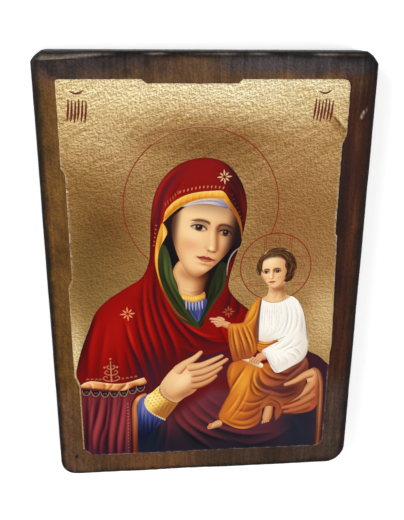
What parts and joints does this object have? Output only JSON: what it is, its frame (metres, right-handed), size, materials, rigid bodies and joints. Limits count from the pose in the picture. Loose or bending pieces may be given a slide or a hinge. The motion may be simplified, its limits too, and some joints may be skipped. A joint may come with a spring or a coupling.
{
  "type": "icon panel",
  "caption": "Thick stained wooden icon board with hand-rounded edges, and a gilded printed icon sheet with stepped edges glued to its face.",
  "frame": {"origin": "middle of the board's back face, which the panel lies on", "axes": "+X to the right across the picture, +Y up the picture, +Z out of the face, away from what the panel lies on"},
  "size_m": [0.17, 0.24, 0.0225],
  "materials": {
    "stained_wood": "brushed softwood under a dark brown stain, near black on the rubbed edges, satin varnish",
    "gilded_print": "varnished print on heavy textured paper, with a gold foil ground and a painted mother and child"
  },
  "bodies": {
    "root": {"board": "stained_wood", "icon_sheet": "gilded_print"}
  },
  "joints": []
}
